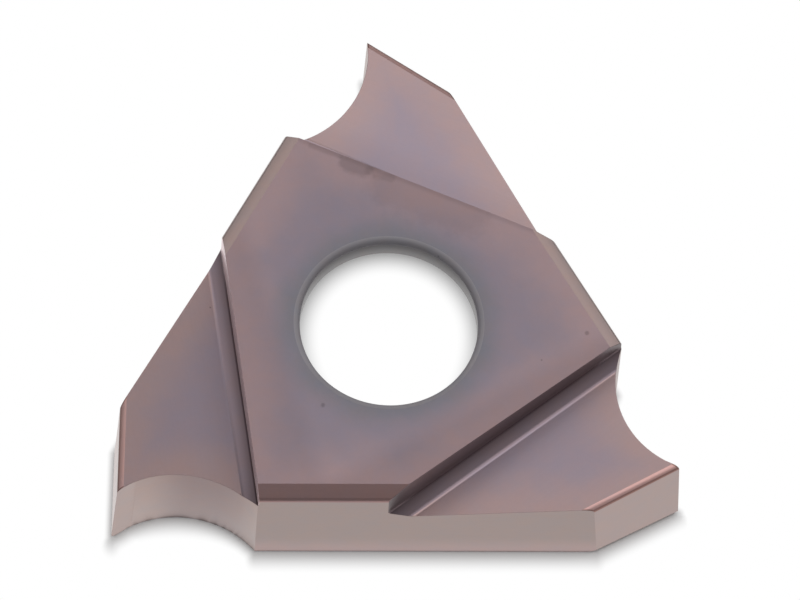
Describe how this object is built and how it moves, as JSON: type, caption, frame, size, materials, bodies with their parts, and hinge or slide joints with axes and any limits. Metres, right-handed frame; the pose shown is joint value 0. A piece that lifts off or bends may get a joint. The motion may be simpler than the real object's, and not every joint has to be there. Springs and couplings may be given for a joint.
{
  "type": "grooving insert",
  "caption": "Flat triangular carbide grooving insert for screw clamping, with a concave rake flute, a straight front flank and a ground recess at each corner.",
  "frame": {"origin": "hole axis in the plane of the underside, where the screw seat opens", "axes": "+Z along the hole axis out of the face that carries the recesses, -Y out of one long side face, +X along that side face towards its cutting corner"},
  "size_m": [0.0138, 0.0128, 0.0032],
  "materials": {
    "coated_carbide": "satin mauve-grey hard coating over ground cemented carbide"
  },
  "bodies": {
    "root": {"grooving_insert": "coated_carbide"}
  },
  "joints": []
}
